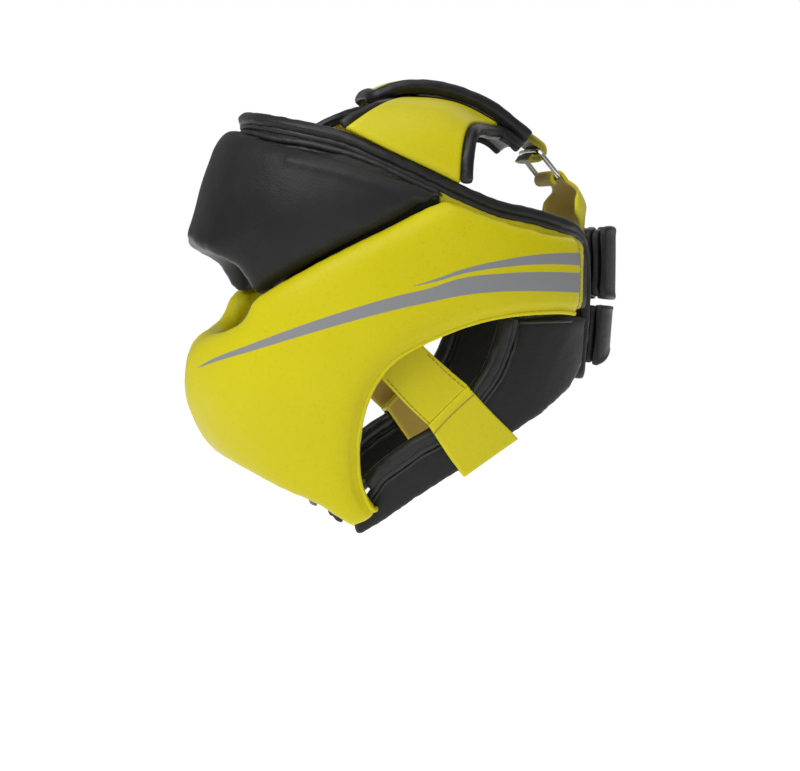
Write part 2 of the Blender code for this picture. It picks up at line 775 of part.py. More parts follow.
def rear_panel():
    """The panel behind the head, with its upper end folded round the ring's lower bar."""
    bar = bar_place(1)
    line = [(Vector((behind(row[0]), level(row[1]))), row[2]) for row in spline(REAR_LINE, 2)]
    last = line[-1][1]
    loop = round_bar(bar, RING_WIRE_RADIUS + BAR_GAP + REAR_PANEL_THICK / 2, *PANEL_BEND, 8)
    line += [(place, last) for place in loop]
    sections = []
    points = [p for p, _ in line]
    for i, (place, half) in enumerate(line):
        outwards = outwards_of(points, i)
        curl = max(0.0, min(1.0, (bar.y - place.y) / REAR_PANEL_STRAIGHTEN))
        section = []
        sides = steps_between(-half, half, 6)
        thick = REAR_PANEL_THICK / 2
        for offset, run in ((thick, sides), (-thick, list(reversed(sides)))):
            point = place + outwards * offset
            section += [Vector((s, point.x - wrap_back(s) * curl, point.y)) for s in run]
        sections.append(section)
    add_ribbon("rear_panel", sections, YELLOW)


def wrap_back(aside):
    """How far the back of the hollow comes forward at a distance aside."""
    back, side = HEAD_LENGTH / 2, HEAD_BREADTH / 2
    return back * (1 - (1 - (abs(aside) / side) ** WALL_ROUNDNESS) ** (1 / WALL_ROUNDNESS))


def rear_straps():
    """The two closure straps round the back, each from one side over the middle to the other."""
    for name, rows in (("rear_strap_upper", REAR_UPPER), ("rear_strap_lower", REAR_LOWER)):
        half = spline(rows, 3)
        sections = []
        for turn, top, low, depth, thickness in half:
            heights = steps_between(level(low), level(top), 3)
            inner = [wall_point(turn, h, depth) for h in heights]
            soft = [0.72, 1.0, 1.0, 0.72]
            outer = [wall_point(turn, h, depth + thickness * k) for h, k in zip(heights, soft)]
            sections.append(inner + list(reversed(outer)))
        other = [[Vector((-p.x, p.y, p.z)) for p in section] for section in sections[:-1]]
        add_ribbon(name, other + list(reversed(sections)), BLACK)


def hangers():
    """The straps from the cheek guard down to the jaw straps."""
    for side, label in ((1, "left"), (-1, "right")):
        sections = []
        for front_turn, front_up, rear_turn, rear_up, depth in spline(HANGER, 3):
            shares = steps_between(0, 1, 4)
            line = [to_map(front_turn, front_up).lerp(to_map(rear_turn, rear_up), s) for s in shares]
            ring_points = [from_map(p, depth) for p in line]
            ring_points += [from_map(p, depth + STRAP_THICK) for p in reversed(line)]
            sections.append([Vector((p.x * side, p.y, p.z)) for p in ring_points])
        add_ribbon("hanger_" + label, sections, YELLOW)
        sleeve(side, label)


def sleeve(side, label):
    """A closed band round the jaw strap, with its open ends towards the front and the rear."""
    edges = spline(SLEEVE, 4)
    high, low = BAND_THICK + SLEEVE_GAP, -SLEEVE_GAP
    bm = bmesh.new()
    rings = []
    for s in steps_between(0, 1, 5):
        line = [to_map(a, b).lerp(to_map(c, d), s) for a, b, c, d in edges]
        outer = loop_of(line, high + STRAP_THICK, low - STRAP_THICK, STRAP_THICK)
        inner = loop_of(line, high, low, 0.0)
        rings.append([[bm.verts.new((p.x * side, p.y, p.z)) for p in loop] for loop in (outer, inner)])
    count = len(rings[0][0])
    for low, high in zip(rings, rings[1:]):
        for k in range(2):
            for i in range(count):
                j = (i + 1) % count
                bm.faces.new((low[k][i], low[k][j], high[k][j], high[k][i]))
    for outer, inner in (rings[0], rings[-1]):
        for i in range(count):
            j = (i + 1) % count
            bm.faces.new((outer[i], outer[j], inner[j], inner[i]))
    bmesh.ops.recalc_face_normals(bm, faces=bm.faces)
    make_object("sleeve_" + label, bm, YELLOW)


def loop_of(line, high, low, beyond):
    """A ring round the strap along a line across it: down its outer face and up its inner face."""
    start = line[0] + (line[0] - line[1]).normalized() * beyond
    end = line[-1] + (line[-1] - line[-2]).normalized() * beyond
    run = [start] + line[1:-1] + [end]
    return [from_map(p, high) for p in run] + [from_map(p, low) for p in reversed(run)]


def chin_strap():
    """The strap under the chin, between the jaw straps' front ends."""
    front = to_map(*JAW_FRONT[0]).lerp(to_map(*JAW_FRONT[1]), CHIN_STRAP_END)
    end = from_map(front - Vector((CHIN_STRAP_GAP, 0)), BAND_THICK / 2)
    rows = [end] + [Vector((a * HEAD_BREADTH / 2, behind(b), level(u))) for a, b, u in CHIN_ROUTE]
    route = [Vector(row) for row in spline(rows, 3)]
    route = [Vector((-p.x, p.y, p.z)) for p in route[:-1]] + list(reversed(route))
    sections = []
    lean = Vector((0, -CHIN_STRAP_LEAN, -1)).normalized()
    for i, place in enumerate(route):
        along = (route[min(i + 1, len(route) - 1)] - route[max(i - 1, 0)]).normalized()
        face = lean.cross(along).normalized()
        high = -lean.cross(face).cross(face).normalized()
        corners = []
        for offset, run in ((0, (-1, 0, 1)), (CHIN_STRAP_THICK, (1, 0, -1))):
            for k in run:
                corners.append(place + face * offset + high * CHIN_STRAP_HALF * k)
        sections.append(corners)
    add_ribbon("chin_strap", sections, BLACK)


def band_edges():
    """The rolled binding along the top of the head band, down its rear edges and the jaw straps'."""
    away = BAND_BINDING_RADIUS + BINDING_GAP
    top = wrapped_path(BAND_TOP, BAND_THICK / 2, EDGE_STEP, away)
    down = [BAND_TOP[-1], (BAND_TOP[-1][0], BAND_BINDING_END)]
    back = wrapped_path(down, BAND_THICK / 2, EDGE_STEP, away)
    path = top[:-1] + back[1:]
    add_tube("band_binding", both_sides(path), BAND_BINDING_RADIUS, BLACK)


def crown_edges():
    """The edging of the crown panels: over the crown in front, and round each window behind."""
    middle = -CROWN_STRAP_THICK / 2
    away = FRONT_BINDING_RADIUS + CROWN_BINDING_GAP
    side = [off_panel(0, 0.04, v, away) for v in steps_between(0.02, 1, 9)]
    edge = behind(STRAP_SPAN[0]) - away
    front = [crown_point(edge, CROWN_STRAP_HALF * s, middle) for s in (0.6, 0)]
    half = list(reversed(side + front))
    add_tube("crown_front_binding", both_sides(half), FRONT_BINDING_RADIUS, BLACK)
    away = WINDOW_BINDING_RADIUS + CROWN_BINDING_GAP
    climb = [off_panel(1, 0.96, v, away) for v in steps_between(0.02, 0.97, 12)]
    start = behind(CROWN_JOIN[1]) + 2 * WINDOW_BINDING_RADIUS
    backs = steps_between(start, behind(STRAP_SPAN[1]) - 0.001, 2)
    climb += [crown_point(b, CROWN_STRAP_HALF + away, middle) for b in backs]
    for side, label in ((1, "left"), (-1, "right")):
        points = [Vector((p.x * side, p.y, p.z)) for p in climb]
        add_tube("window_binding_" + label, points, WINDOW_BINDING_RADIUS, BLACK)


def off_panel(edge, inner, across, away):
    """A point off a crown panel's front edge (0) or rear edge (1), half way through its thickness."""
    half = CROWN_PANEL_THICK / 2
    place = crown_patch(edge, across, half)
    return place + (place - crown_patch(inner, across, half)).normalized() * away


def jaw_rolls():
    """The rolled edging of the jaw straps, inside the line that JAW_EAR gives."""
    path = wrapped_path(JAW_EAR[:-1], BAND_THICK / 2, EDGE_STEP, JAW_ROLL_RADIUS)
    for side, label in ((1, "left"), (-1, "right")):
        points = [Vector((p.x * side, p.y, p.z)) for p in path]
        add_tube("jaw_roll_" + label, points, JAW_ROLL_RADIUS, BLACK)


def constant(value):
    """A thickness that is the same everywhere."""
    return lambda point: value


for leftover in list(bpy.data.objects):
    bpy.data.objects.remove(leftover)
HEADGEAR = bpy.data.collections.new("boxing_headgear")
bpy.context.scene.collection.children.link(HEADGEAR)

seat = BAND_THICK + LAYER_GAP
even = constant(BAND_THICK)
band_outline = [BAND_TOP, BAND_REAR, BAND_LOW, BAND_FACE, BAND_MIDDLE]
cut_panel("head_band", band_outline, 0, even, FLAT_EDGE_RADIUS, BLACK, mirrored=True)
brow_outline = [BROW_ARCH, SEAM, BROW_TAIL, BROW_TOP, BROW_MIDDLE]
cut_panel("brow_pad", brow_outline, seat, brow_depth, BROW_EDGE_RADIUS, BLACK, mirrored=True)
cheek_outline = [CHEEK_NOTCH, SEAM, CHEEK_TOP, CHEEK_REAR, CHEEK_EAR, CHEEK_TIP, CHEEK_UNDER]
cheek_outline.append(CHEEK_MIDDLE)
cut_panel("cheek_guard", cheek_outline, seat, cheek_depth, CHEEK_EDGE_RADIUS, YELLOW, mirrored=True)
jaw_ear = beside(JAW_EAR[1:-1], -2 * JAW_ROLL_RADIUS - SEAM_GAP)
jaw_outline = [JAW_TOP, [JAW_TOP[-1]] + jaw_ear + [JAW_EAR[-1]], JAW_FRONT, JAW_UNDER, JAW_REAR]
cut_panel("jaw_strap", jaw_outline, 0, even, FLAT_EDGE_RADIUS, BLACK, sides=(1, -1))
crown_panels()
crown_straps()
flap()
ring()
rear_panel()
rear_straps()
hangers()
chin_strap()
band_edges()
crown_edges()
jaw_rolls()
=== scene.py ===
# %% [markdown]
# # A padded boxing headgear
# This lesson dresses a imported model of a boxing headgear: thick leather-covered foam in yellow and
# black, rolled edges, a folded strap over the crown and wide straps behind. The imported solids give
# every piece its place, so each step starts from a solid and adds what the sewn piece has.

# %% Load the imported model
import math

import bmesh
import bpy
import numpy as np
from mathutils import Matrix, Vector
from mathutils.bvhtree import BVHTree
from mathutils.noise import noise


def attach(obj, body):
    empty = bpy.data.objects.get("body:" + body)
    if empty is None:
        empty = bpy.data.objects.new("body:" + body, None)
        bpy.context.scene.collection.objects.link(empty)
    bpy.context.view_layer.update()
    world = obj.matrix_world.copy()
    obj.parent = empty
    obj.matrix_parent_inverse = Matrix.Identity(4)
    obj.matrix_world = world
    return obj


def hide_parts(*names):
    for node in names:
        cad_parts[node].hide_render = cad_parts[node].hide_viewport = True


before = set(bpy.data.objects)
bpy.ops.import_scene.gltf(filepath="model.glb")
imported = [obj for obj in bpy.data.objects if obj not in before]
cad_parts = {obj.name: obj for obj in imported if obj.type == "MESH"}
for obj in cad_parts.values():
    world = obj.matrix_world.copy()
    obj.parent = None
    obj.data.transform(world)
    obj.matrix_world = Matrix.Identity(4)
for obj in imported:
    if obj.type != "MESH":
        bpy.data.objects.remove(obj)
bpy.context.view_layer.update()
print("solids to dress:", len(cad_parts))

# %% [markdown]
# ## The camera
# The headgear is seen from its own left side, a little from the front and just above. A long lens
# keeps the two cheeks nearly the same size. The camera comes first.

# %% Set up the camera
VIEW_TURN = 80
VIEW_RISE = 3
VIEW_DISTANCE = 1.8
LENS_MM = 129.6
AIM = Vector((0, -0.0156, -0.09375))


def camera_at(turn, rise, distance, aim):
    """A camera that looks at a point from a turn round it and a rise above it, both in degrees."""
    turn, rise = math.radians(turn), math.radians(rise)
    back = Vector((math.sin(turn) * math.cos(rise), -math.cos(turn) * math.cos(rise), math.sin(rise)))
    camera = bpy.data.objects.new("camera", bpy.data.cameras.new("camera"))
    camera.location = aim + back * distance
    camera.rotation_euler = back.to_track_quat("Z", "Y").to_euler()
    bpy.context.scene.collection.objects.link(camera)
    return camera


camera = camera_at(VIEW_TURN, VIEW_RISE, VIEW_DISTANCE, AIM)
camera.data.lens = LENS_MM
bpy.context.scene.camera = camera
print("camera stands", round(camera.location.length, 2), "m from the head's centre")

# %% [markdown]
# ## Finding a place on the head
# Seams and stitches run round the head, so they are easiest to give as a turn from the front, in
# degrees, and a height. The hollow of the headgear is a rounded oval at each height. A short table
# holds its three half sizes, and a smooth curve between the rows gives the rest.

# %% The wall of the hollow
HEAD_LENGTH = 0.194
HEAD_BREADTH = 0.158
CROWN_RISE = 0.080
JAW_DROP = 0.185
BAND_THICK = 0.0092
MAP_RADIUS = 0.095
WALL_ROWS = [
    # up, front, side, back
    (1.10, 1.12, 0.93, 0.86),
    (0.75, 1.10, 0.96, 0.93),
    (0.38, 1.07, 0.99, 0.98),
    (0.00, 1.04, 1.00, 1.00),
    (-0.16, 1.07, 1.00, 1.00),
    (-0.32, 1.18, 0.98, 0.985),
    (-0.49, 1.20, 0.95, 0.95),
    (-0.65, 1.10, 0.90, 0.90),
    (-0.78, 0.99, 0.84, 0.82),
    (-0.90, 0.90, 0.77, 0.71),
    (-1.05, 0.78, 0.68, 0.60),
]
WALL_ROUNDNESS = 2.2


def level(share):
    """A height from its share of the crown's rise, or of the jaw's drop below the band."""
    return share * (CROWN_RISE if share > 0 else JAW_DROP)


def smooth_rows(rows, steps=8):
    """Rows of numbers on a smooth curve through the given ones."""
    found = []
    last = len(rows) - 1
    for i in range(last):
        a, b, c, d = rows[max(i - 1, 0)], rows[i], rows[i + 1], rows[min(i + 2, last)]
        for k in range(steps):
            t = k / steps
            found.append(tuple(
                q + 0.5 * t * (r - p + t * (2 * p - 5 * q + 4 * r - s + t * (3 * q - p - 3 * r + s)))
                for p, q, r, s in zip(a, b, c, d)
            ))
    return found + [tuple(rows[last])]


half_long, half_wide = HEAD_LENGTH / 2, HEAD_BREADTH / 2
wall_rows = smooth_rows(sorted(
    (level(up), front * half_long, side * half_wide, back * half_long) for up, front, side, back in WALL_ROWS
), 6)


def wall_surface(turn, height):
    """A point of the hollow's wall."""
    index = 0
    while index < len(wall_rows) - 2 and wall_rows[index + 1][0] < height:
        index += 1
    low, high = wall_rows[index], wall_rows[index + 1]
    t = (height - low[0]) / (high[0] - low[0])
    front, side, back = (p + (q - p) * t for p, q in zip(low[1:], high[1:]))
    sine, cosine = math.sin(math.radians(turn)), math.cos(math.radians(turn))
    along = front if cosine > 0 else back
    reach = (abs(sine) / side) ** WALL_ROUNDNESS + (abs(cosine) / along) ** WALL_ROUNDNESS
    reach = reach ** (-1 / WALL_ROUNDNESS)
    return Vector((reach * sine, -reach * cosine, height))


def wall_normal(turn, height):
    """The direction straight out of the wall."""
    across = wall_surface(turn + 1.5, height) - wall_surface(turn - 1.5, height)
    upwards = wall_surface(turn, height + 0.004) - wall_surface(turn, height - 0.004)
    return across.cross(upwards).normalized()


def wall_point(turn, up, depth):
    """A point at a depth outside the wall, from a turn in degrees and a share of the height."""
    return wall_surface(turn, level(up)) + wall_normal(turn, level(up)) * depth


print("hollow at the band:", round(2 * wall_surface(90, 0).x * 1000), "mm wide")

# %% [markdown]
# ## Leather
# The real covers are smooth coated leather: a fine pebble grain, slow changes of tone where hands
# have rubbed it and pale worn ridges, and creases are darkened with painted shade. A picture of
# leather would need unwrapping and would repeat. Here noise in the object's own space makes the
# grain, the same size on every piece, and a value stored on each mesh point says where its edges stand out
# and where creases get painted shade.

# %% A leather material
GRAIN_SIZE = 0.0011
GRAIN_DEPTH = 0.00022
CREASE_SIZE = 0.012


def add_node(tree, kind, **inputs):
    """A node with some of its inputs set, or linked where the value is another node's output."""
    node = tree.nodes.new(kind)
    for name, value in inputs.items():
        socket = node.inputs[name.replace("_", " ")]
        if isinstance(value, bpy.types.NodeSocket):
            tree.links.new(value, socket)
        else:
            socket.default_value = value
    return node


def mix_colours(tree, share, first, second):
    """The colour part way from one to another."""
    node = tree.nodes.new("ShaderNodeMix")
    node.data_type = "RGBA"
    for socket, value in zip((node.inputs[0], node.inputs[6], node.inputs[7]), (share, first, second)):
        if isinstance(value, bpy.types.NodeSocket):
            tree.links.new(value, socket)
        else:
            socket.default_value = value if isinstance(value, float) else (*value[:3], 1.0)
    return node.outputs[2]


def ranged(tree, value, low, high, to_low, to_high):
    """A value carried from one range to another, and held at its ends."""
    node = add_node(tree, "ShaderNodeMapRange", Value=value)
    for index, number in zip((1, 2, 3, 4), (low, high, to_low, to_high)):
        node.inputs[index].default_value = number
    return node.outputs[0]


def leather(name, colour, worn, crease, roughness=(0.34, 0.50), shine=0.42, second=None):
    """Coated leather: its plain colour, that of worn ridges, a dark colour for random specks that is also
    painted into creases as shade, and a second colour that shows where the mesh's tint value says so."""
    material = bpy.data.materials.new(name)
    material.use_nodes = True
    tree = material.node_tree
    shader = tree.nodes["Principled BSDF"]
    place = tree.nodes.new("ShaderNodeTexCoord").outputs["Object"]
    cloud = add_node(tree, "ShaderNodeTexNoise", Vector=place, Scale=16.0, Detail=4.0).outputs[0]
    speck = add_node(tree, "ShaderNodeTexNoise", Vector=place, Scale=420.0, Detail=2.0).outputs[0]
    edge = tree.nodes.new("ShaderNodeAttribute")
    edge.attribute_name = "edge"
    base = colour
    if second:
        tint = tree.nodes.new("ShaderNodeAttribute")
        tint.attribute_name = "tint"
        base = mix_colours(tree, tint.outputs["Fac"], colour, second)
    shade = mix_colours(tree, ranged(tree, cloud, 0.35, 0.68, 0.0, 0.18), base, worn)
    shade = mix_colours(tree, ranged(tree, speck, 0.55, 0.75, 0.0, 0.10), shade, crease)
    ridge = ranged(tree, edge.outputs["Fac"], 0.56, 0.85, 0.0, 0.55)
    shade = mix_colours(tree, ridge, shade, worn)
    # Points in creases, where the edge value is low, get the dark colour as painted shade.
    painted_crease_shade = ranged(tree, edge.outputs["Fac"], 0.46, 0.22, 0.0, 0.75)
    shade = mix_colours(tree, painted_crease_shade, shade, crease)
    tree.links.new(shade, shader.inputs["Base Color"])
    gloss = ranged(tree, cloud, 0.3, 0.7, *roughness)
    tree.links.new(gloss, shader.inputs["Roughness"])
    pebbles = add_node(tree, "ShaderNodeTexVoronoi", Vector=place, Scale=1 / GRAIN_SIZE)
    fine = add_node(tree, "ShaderNodeBump", Height=pebbles.outputs["Distance"])
    fine.inputs["Strength"].default_value = 0.35
    fine.inputs["Distance"].default_value = GRAIN_DEPTH
    waves = add_node(tree, "ShaderNodeTexNoise", Vector=place, Scale=1 / CREASE_SIZE, Detail=3.0)
    soft = add_node(tree, "ShaderNodeBump", Height=waves.outputs[0], Normal=fine.outputs[0])
    soft.inputs["Strength"].default_value = 0.25
    soft.inputs["Distance"].default_value = 0.0012
    tree.links.new(soft.outputs[0], shader.inputs["Normal"])
    shader.inputs["Specular IOR Level"].default_value = shine
    return material


# The third colour of each leather darkens random specks and is painted into creases as shade.
YELLOW = (0.52, 0.460, 0.003)
YELLOW_WORN = (0.62, 0.56, 0.012)
YELLOW_SPECK_AND_SHADE = (0.20, 0.155, 0.006)
BLACK = (0.0085, 0.0088, 0.0084)
BLACK_WORN = (0.040, 0.042, 0.040)
BLACK_SPECK_AND_SHADE = (0.002, 0.002, 0.002)
EDGING_BLACK = (0.006, 0.006, 0.006)
TAN = (0.36, 0.24, 0.055)
yellow_leather = leather("yellow_leather", YELLOW, YELLOW_WORN, YELLOW_SPECK_AND_SHADE, shine=0.16)
lined_leather = leather("lined_leather", YELLOW, YELLOW_WORN, YELLOW_SPECK_AND_SHADE, (0.38, 0.56), 0.25, TAN)
black_leather = leather("black_leather", BLACK, BLACK_WORN, BLACK_SPECK_AND_SHADE, (0.34, 0.46), 0.20)
band_leather = leather("band_leather", BLACK, BLACK_WORN, BLACK_SPECK_AND_SHADE, (0.34, 0.46), 0.20, YELLOW)
flap_leather = leather("flap_leather", YELLOW, YELLOW_WORN, YELLOW_SPECK_AND_SHADE, (0.34, 0.50), 0.35, BLACK)
edging_leather = leather("edging_leather", EDGING_BLACK, BLACK_WORN, BLACK_SPECK_AND_SHADE, (0.30, 0.42), 0.26)
print("leathers:", [m.name for m in bpy.data.materials])

# %% [markdown]
# ## The stripes on the cheek
# Two grey stripes are printed on the yellow cheek, each swelling from a fine tip to the rear edge.
# Thin raised shapes would catch the light like stickers. Two curves in the material do it instead:
# one says how high the stripe's middle is at each distance along the head, the other how wide.

# %% Paint the stripes into a copy of the yellow leather
STRIPE_GREY = (0.215, 0.218, 0.222)
LOW_STRIPE = [
    # back, middle height, half width, in millimetres
    (-146.0, -81.2, 0.2), (-135.1, -74.1, 1.4), (-120.4, -67.8, 2.1), (-89.8, -56.0, 3.2),
    (-58.3, -45.6, 3.8), (-34.4, -39.0, 4.1), (-19.5, -35.7, 4.2), (3.5, -30.1, 5.3),
    (27.3, -27.9, 5.5), (52.3, -27.5, 5.9), (79.2, -28.5, 6.1),
]
HIGH_STRIPE = [
    (-27.0, -29.9, 0.2), (-12.0, -25.9, 1.0), (3.4, -21.1, 1.5), (27.2, -16.8, 2.3), (52.2, -14.3, 3.1),
    (79.9, -14.2, 3.9),
]
STRIPE_BACK = (-0.150, 0.090)
STRIPE_HEIGHT = (-0.100, 0.0)
STRIPE_WIDTH = 0.010


def height_curve(tree, back, rows, column, low, high):
    """A value read off a curve along the head, from one column of a stripe's rows."""
    node = add_node(tree, "ShaderNodeFloatCurve", Value=back)
    points = node.mapping.curves[0].points
    start, end = STRIPE_BACK
    places = [((r[0] / 1000 - start) / (end - start), (r[column] / 1000 - low) / (high - low)) for r in rows]
    while len(points) < len(places):
        points.new(0.5, 0.5)
    for point, place in zip(points, places):
        point.location = place
    node.mapping.update()
    return ranged(tree, node.outputs[0], 0.0, 1.0, low, high)


def add_stripe(material, rows):
    """Lays a stripe over what the material's shader already has for its colour."""
    tree = material.node_tree
    shader = tree.nodes["Principled BSDF"]
    under = shader.inputs["Base Color"].links[0].from_socket
    place = tree.nodes.new("ShaderNodeTexCoord").outputs["Object"]
    split = add_node(tree, "ShaderNodeSeparateXYZ", Vector=place)
    back = ranged(tree, split.outputs[1], *STRIPE_BACK, 0.0, 1.0)
    middle = height_curve(tree, back, rows, 1, *STRIPE_HEIGHT)
    half = height_curve(tree, back, rows, 2, 0.0, STRIPE_WIDTH)
    off = tree.nodes.new("ShaderNodeMath")
    off.operation = "SUBTRACT"
    tree.links.new(split.outputs[2], off.inputs[0])
    tree.links.new(middle, off.inputs[1])
    away = tree.nodes.new("ShaderNodeMath")
    away.operation = "ABSOLUTE"
    tree.links.new(off.outputs[0], away.inputs[0])
    spare = tree.nodes.new("ShaderNodeMath")
    spare.operation = "SUBTRACT"
    tree.links.new(half, spare.inputs[0])
    tree.links.new(away.outputs[0], spare.inputs[1])
    inside = ranged(tree, spare.outputs[0], -0.0001, 0.0003, 0.0, 1.0)
    begun = ranged(tree, split.outputs[1], rows[0][0] / 1000, rows[0][0] / 1000 + 0.002, 0.0, 1.0)
    both = tree.nodes.new("ShaderNodeMath")
    both.operation = "MULTIPLY"
    tree.links.new(inside, both.inputs[0])
    tree.links.new(begun, both.inputs[1])
    tree.links.new(mix_colours(tree, both.outputs[0], under, STRIPE_GREY), shader.inputs["Base Color"])


cheek_leather = leather("cheek_leather", YELLOW, YELLOW_WORN, YELLOW_SPECK_AND_SHADE, shine=0.16)
add_stripe(cheek_leather, LOW_STRIPE)
add_stripe(cheek_leather, HIGH_STRIPE)
print("stripes end", LOW_STRIPE[-1][2] * 2, "and", HIGH_STRIPE[-1][2] * 2, "mm wide")

# %% [markdown]
# ## Metal, tape and thread
# The ring is bright plated wire, so it is metal with a little dulling. The loop tape is matt and
# fibrous. Thread is a twisted yarn: fine waves across it are enough at this size.

# %% The small finishes


def plain_finish(name, colour, other, scale, roughness, bump=0.0, metallic=0.0):
    """A finish whose colour wanders between two shades, with a fine bump."""
    material = bpy.data.materials.new(name)
    material.use_nodes = True
    tree = material.node_tree
    shader = tree.nodes["Principled BSDF"]
    place = tree.nodes.new("ShaderNodeTexCoord").outputs["Object"]
    cloud = add_node(tree, "ShaderNodeTexNoise", Vector=place, Scale=scale, Detail=5.0).outputs[0]
    shade = mix_colours(tree, ranged(tree, cloud, 0.35, 0.65, 0.0, 1.0), colour, other)
    tree.links.new(shade, shader.inputs["Base Color"])
    tree.links.new(ranged(tree, cloud, 0.3, 0.7, *roughness), shader.inputs["Roughness"])
    relief = add_node(tree, "ShaderNodeBump", Height=cloud)
    relief.inputs["Strength"].default_value = 0.5
    relief.inputs["Distance"].default_value = bump
    tree.links.new(relief.outputs[0], shader.inputs["Normal"])
    shader.inputs["Metallic"].default_value = metallic
    return material


chrome = plain_finish("chrome", (0.62, 0.62, 0.60), (0.50, 0.50, 0.48), 90.0, (0.12, 0.30), 0.00004, 1.0)
loop_tape = plain_finish("loop_tape", (0.48, 0.48, 0.45), (0.36, 0.36, 0.34), 900.0, (0.85, 0.98), 0.0006)
gold_thread = plain_finish("gold_thread", (0.23, 0.19, 0.012), (0.34, 0.28, 0.03), 1500.0, (0.5, 0.7), 0.0001)
print("small finishes are ready")

# %% [markdown]
# ## From a solid to a sewn form
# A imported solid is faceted. Two ways round that are used. A thick pad is remeshed into even small
# squares and relaxed, which rounds its edges like foam under leather. A strap or a cord is already
# a neat run of four-sided faces, so it is welded, its triangles are paired again, and subdivision
# smooths it and keeps its thickness.

# %% Helpers that copy a solid


def copy_of(node, name):
    """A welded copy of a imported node's mesh, on its own object."""
    bm = bmesh.new()
    bm.from_mesh(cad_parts[node].data)
    bmesh.ops.remove_doubles(bm, verts=bm.verts, dist=0.00002)
    for layer in list(bm.loops.layers.uv.values()):
        bm.loops.layers.uv.remove(layer)
    mesh = bpy.data.meshes.new(name)
    bm.to_mesh(mesh)
    bm.free()
    piece = bpy.data.objects.new(name, mesh)
    bpy.context.scene.collection.objects.link(piece)
    return piece


def bake(piece):
    """Applies every modifier of a piece to its mesh."""
    graph = bpy.context.evaluated_depsgraph_get()
    mesh = bpy.data.meshes.new_from_object(piece.evaluated_get(graph))
    piece.modifiers.clear()
    piece.data = mesh


def remesh(piece, voxel, relax):
    """Even squares all over, then a number of rounds of smoothing."""
    even = piece.modifiers.new("Even", "REMESH")
    even.mode = "VOXEL"
    even.voxel_size = voxel
    soften = piece.modifiers.new("Soften", "SMOOTH")
    soften.factor = 0.5
    soften.iterations = relax
    bake(piece)


def subdivide(piece, levels, sharp=0.0):
    """Subdivision surface, with edges sharper than 50 degrees kept a little crisp."""
    bm = bmesh.new()
    bm.from_mesh(piece.data)
    bmesh.ops.join_triangles(bm, faces=bm.faces, angle_face_threshold=0.9, angle_shape_threshold=1.4)
    crease = bm.edges.layers.float.get("crease_edge") or bm.edges.layers.float.new("crease_edge")
    for edge in bm.edges:
        if sharp and edge.is_manifold and edge.calc_face_angle() > math.radians(50):
            edge[crease] = sharp
    bm.to_mesh(piece.data)
    bm.free()
    smooth = piece.modifiers.new("Smooth", "SUBSURF")
    smooth.levels = levels
    smooth.render_levels = levels
    bake(piece)


def points_of(piece):
    """A piece's points and their normals, as two arrays."""
    count = len(piece.data.vertices)
    places, normals = np.empty(count * 3), np.empty(count * 3)
    piece.data.vertices.foreach_get("co", places)
    piece.data.vertex_normals.foreach_get("vector", normals)
    return places.reshape(-1, 3), normals.reshape(-1, 3)


def put_points(piece, places):
    """Moves a piece's points to new places."""
    piece.data.vertices.foreach_set("co", places.reshape(-1))
    piece.data.update()


def store(piece, name, values):
    """Keeps one number, from 0 to 1, on every point of a piece."""
    layer = piece.data.attributes.new(name, "FLOAT", "POINT")
    layer.data.foreach_set("value", np.clip(values, 0.0, 1.0))


def mark_edges(piece, rounds=3):
    """Stores on every point how far it stands out from its neighbours: 0.5 is flat, 1 a ridge."""
    places, normals = points_of(piece)
    pairs = np.empty(len(piece.data.edges) * 2, int)
    piece.data.edges.foreach_get("vertices", pairs)
    first, last = pairs.reshape(-1, 2).T
    here, there = np.concatenate([first, last]), np.concatenate([last, first])
    away = places[here] - places[there]
    away /= np.linalg.norm(away, axis=1, keepdims=True) + 1e-9
    near = np.bincount(here, minlength=len(places)).clip(1)
    values = np.bincount(here, (away * normals[here]).sum(1), len(places)) / near
    for _ in range(rounds):
        values = 0.5 * values + 0.5 * np.bincount(here, values[there], len(places)) / near
    # Low values darken creases with painted shade; high values pale the ridges as wear.
    store(piece, "edge", 0.5 + 2.2 * values)


def mark_lining(piece):
    """Stores as tint which points face the head."""
    places, normals = points_of(piece)
    outwards = places / np.linalg.norm(places, axis=1, keepdims=True)
    store(piece, "tint", -3 * (normals * outwards).sum(1))


def face_tree(piece):
    """A search tree of a piece's faces."""
    mesh = piece.data
    return BVHTree.FromPolygons([v.co for v in mesh.vertices], [tuple(p.vertices) for p in mesh.polygons])


def hold_form(piece, tree, cap):
    """Pulls back the points that smoothing has carried further than a cap from the solid."""
    for vertex in piece.data.vertices:
        place, _, _, gap = tree.find_nearest(vertex.co)
        if gap > cap:
            vertex.co = place + (vertex.co - place) * (cap / gap)


def press(piece, run, width, depth):
    """Pushes a soft groove along a run of places, or raises a ridge where depth is below 0."""
    places, normals = points_of(piece)
    line = np.array([place for place, _ in run])
    nearest = np.full(len(places), 1.0)
    for start in range(0, len(line), 40):
        gaps = np.linalg.norm(places[:, None] - line[None, start:start + 40], axis=2)
        nearest = np.minimum(nearest, gaps.min(1))
    put_points(piece, places - normals * (depth * np.exp(-(nearest / width) ** 2))[:, None])


def dress(piece, material, nodes=()):
    """The last step of a piece: its finish, its body, the solids it stands for."""
    mark_edges(piece)
    piece.data.materials.clear()
    piece.data.materials.append(material)
    piece.data.shade_smooth()
    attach(piece, "root")
    if nodes:
        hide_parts(*nodes)
    print(piece.name, "has", len(piece.data.polygons), "faces")
    return piece


# %% [markdown]
# ## Letting the pads swell
# Foam under tight leather bulges most in the middle of a panel and is held at its seams. Blender's
# cloth with a little inner pressure does just that. The flat back, which lies on the band, is
# pinned, gravity is off, and no point may move further than a small cap, so that the pad stays in
# the space of its solid.

# %% The pressure step
CLOTH_FRAMES = 16


